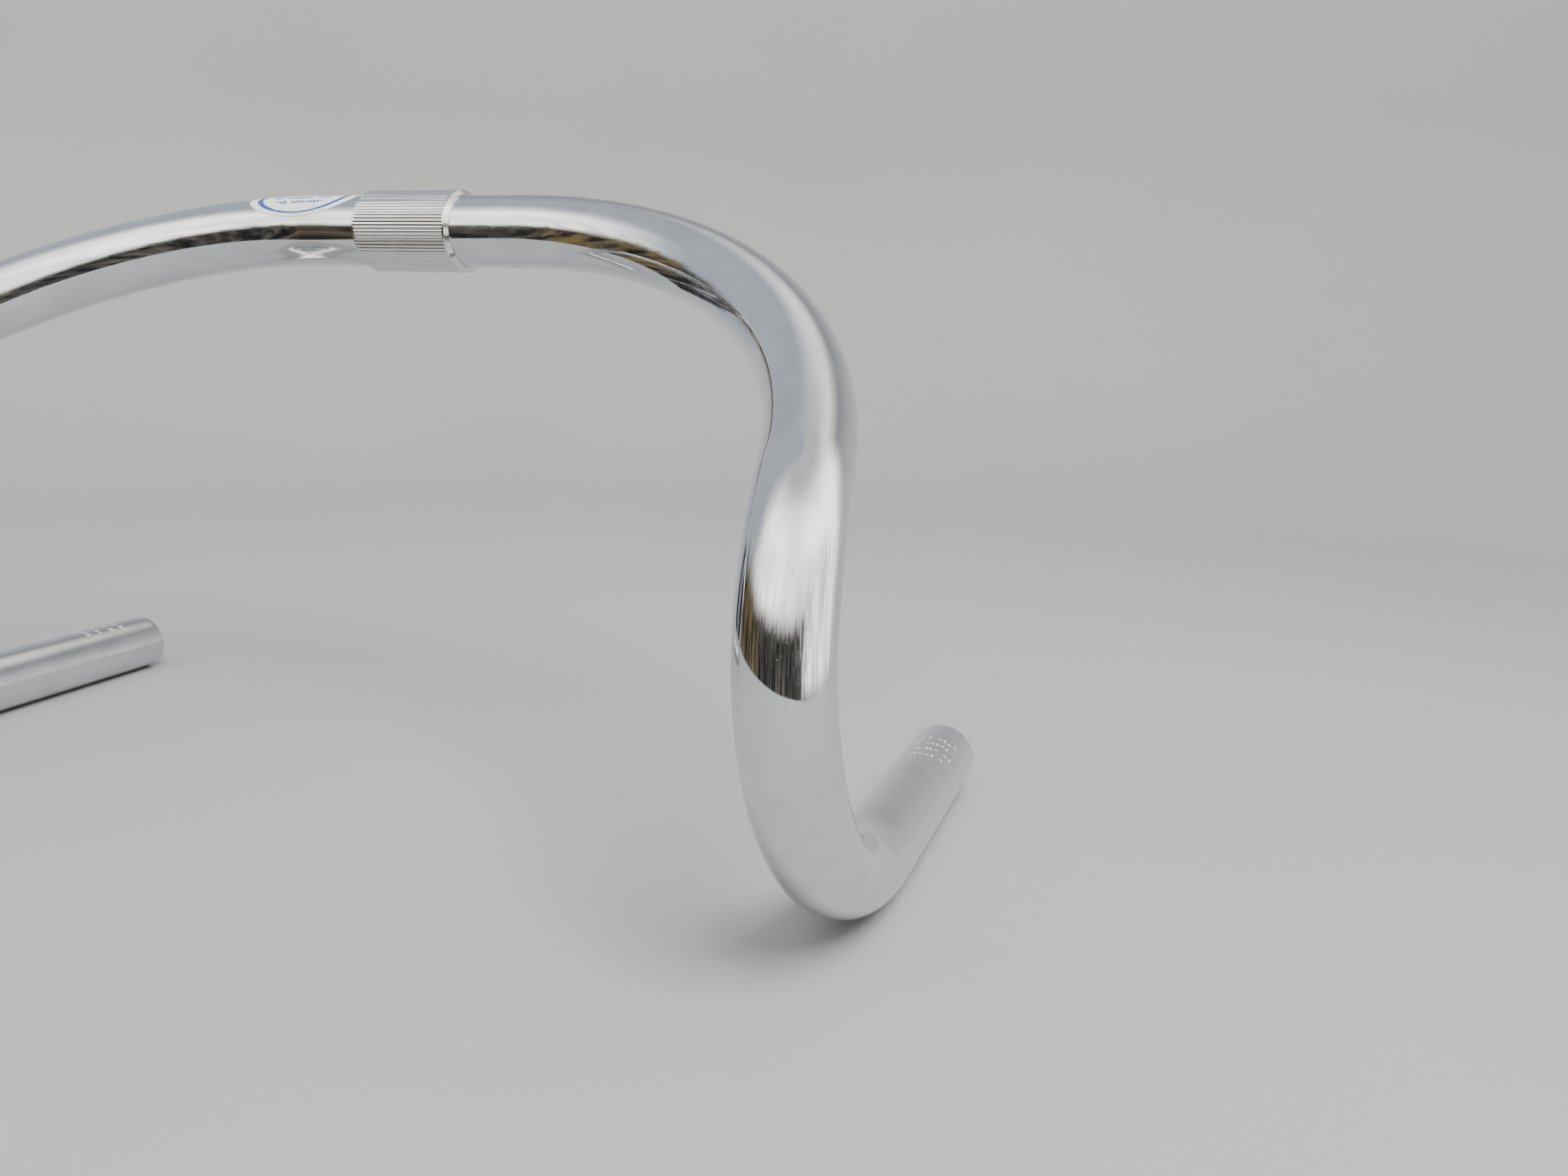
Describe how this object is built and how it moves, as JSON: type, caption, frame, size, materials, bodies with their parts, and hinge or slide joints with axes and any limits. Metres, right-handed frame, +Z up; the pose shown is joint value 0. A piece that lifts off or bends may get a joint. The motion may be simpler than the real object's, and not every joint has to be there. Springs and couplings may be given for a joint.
{
  "type": "drop handlebar",
  "caption": "Track-style bicycle drop handlebar: one bent chrome tube with a knurled centre sleeve, deep round hooks, level drops and an oval label.",
  "frame": {"origin": "middle of the stem's clamp zone, on the axis of the centre sleeve", "axes": "+X across the bicycle along the clamp zone's axis, -Y towards the front of the bicycle, +Z up; both drops are level"},
  "size_m": [0.376, 0.1596, 0.1915],
  "materials": {
    "chrome_plate": "bright polished chrome plate",
    "satin_steel": "satin plated steel with fine straight knurling",
    "label_film": "printed white film with a blue ring"
  },
  "bodies": {
    "root": {"bar_tube": "chrome_plate", "centre_sleeve": "satin_steel", "oval_label": "label_film"}
  },
  "joints": []
}
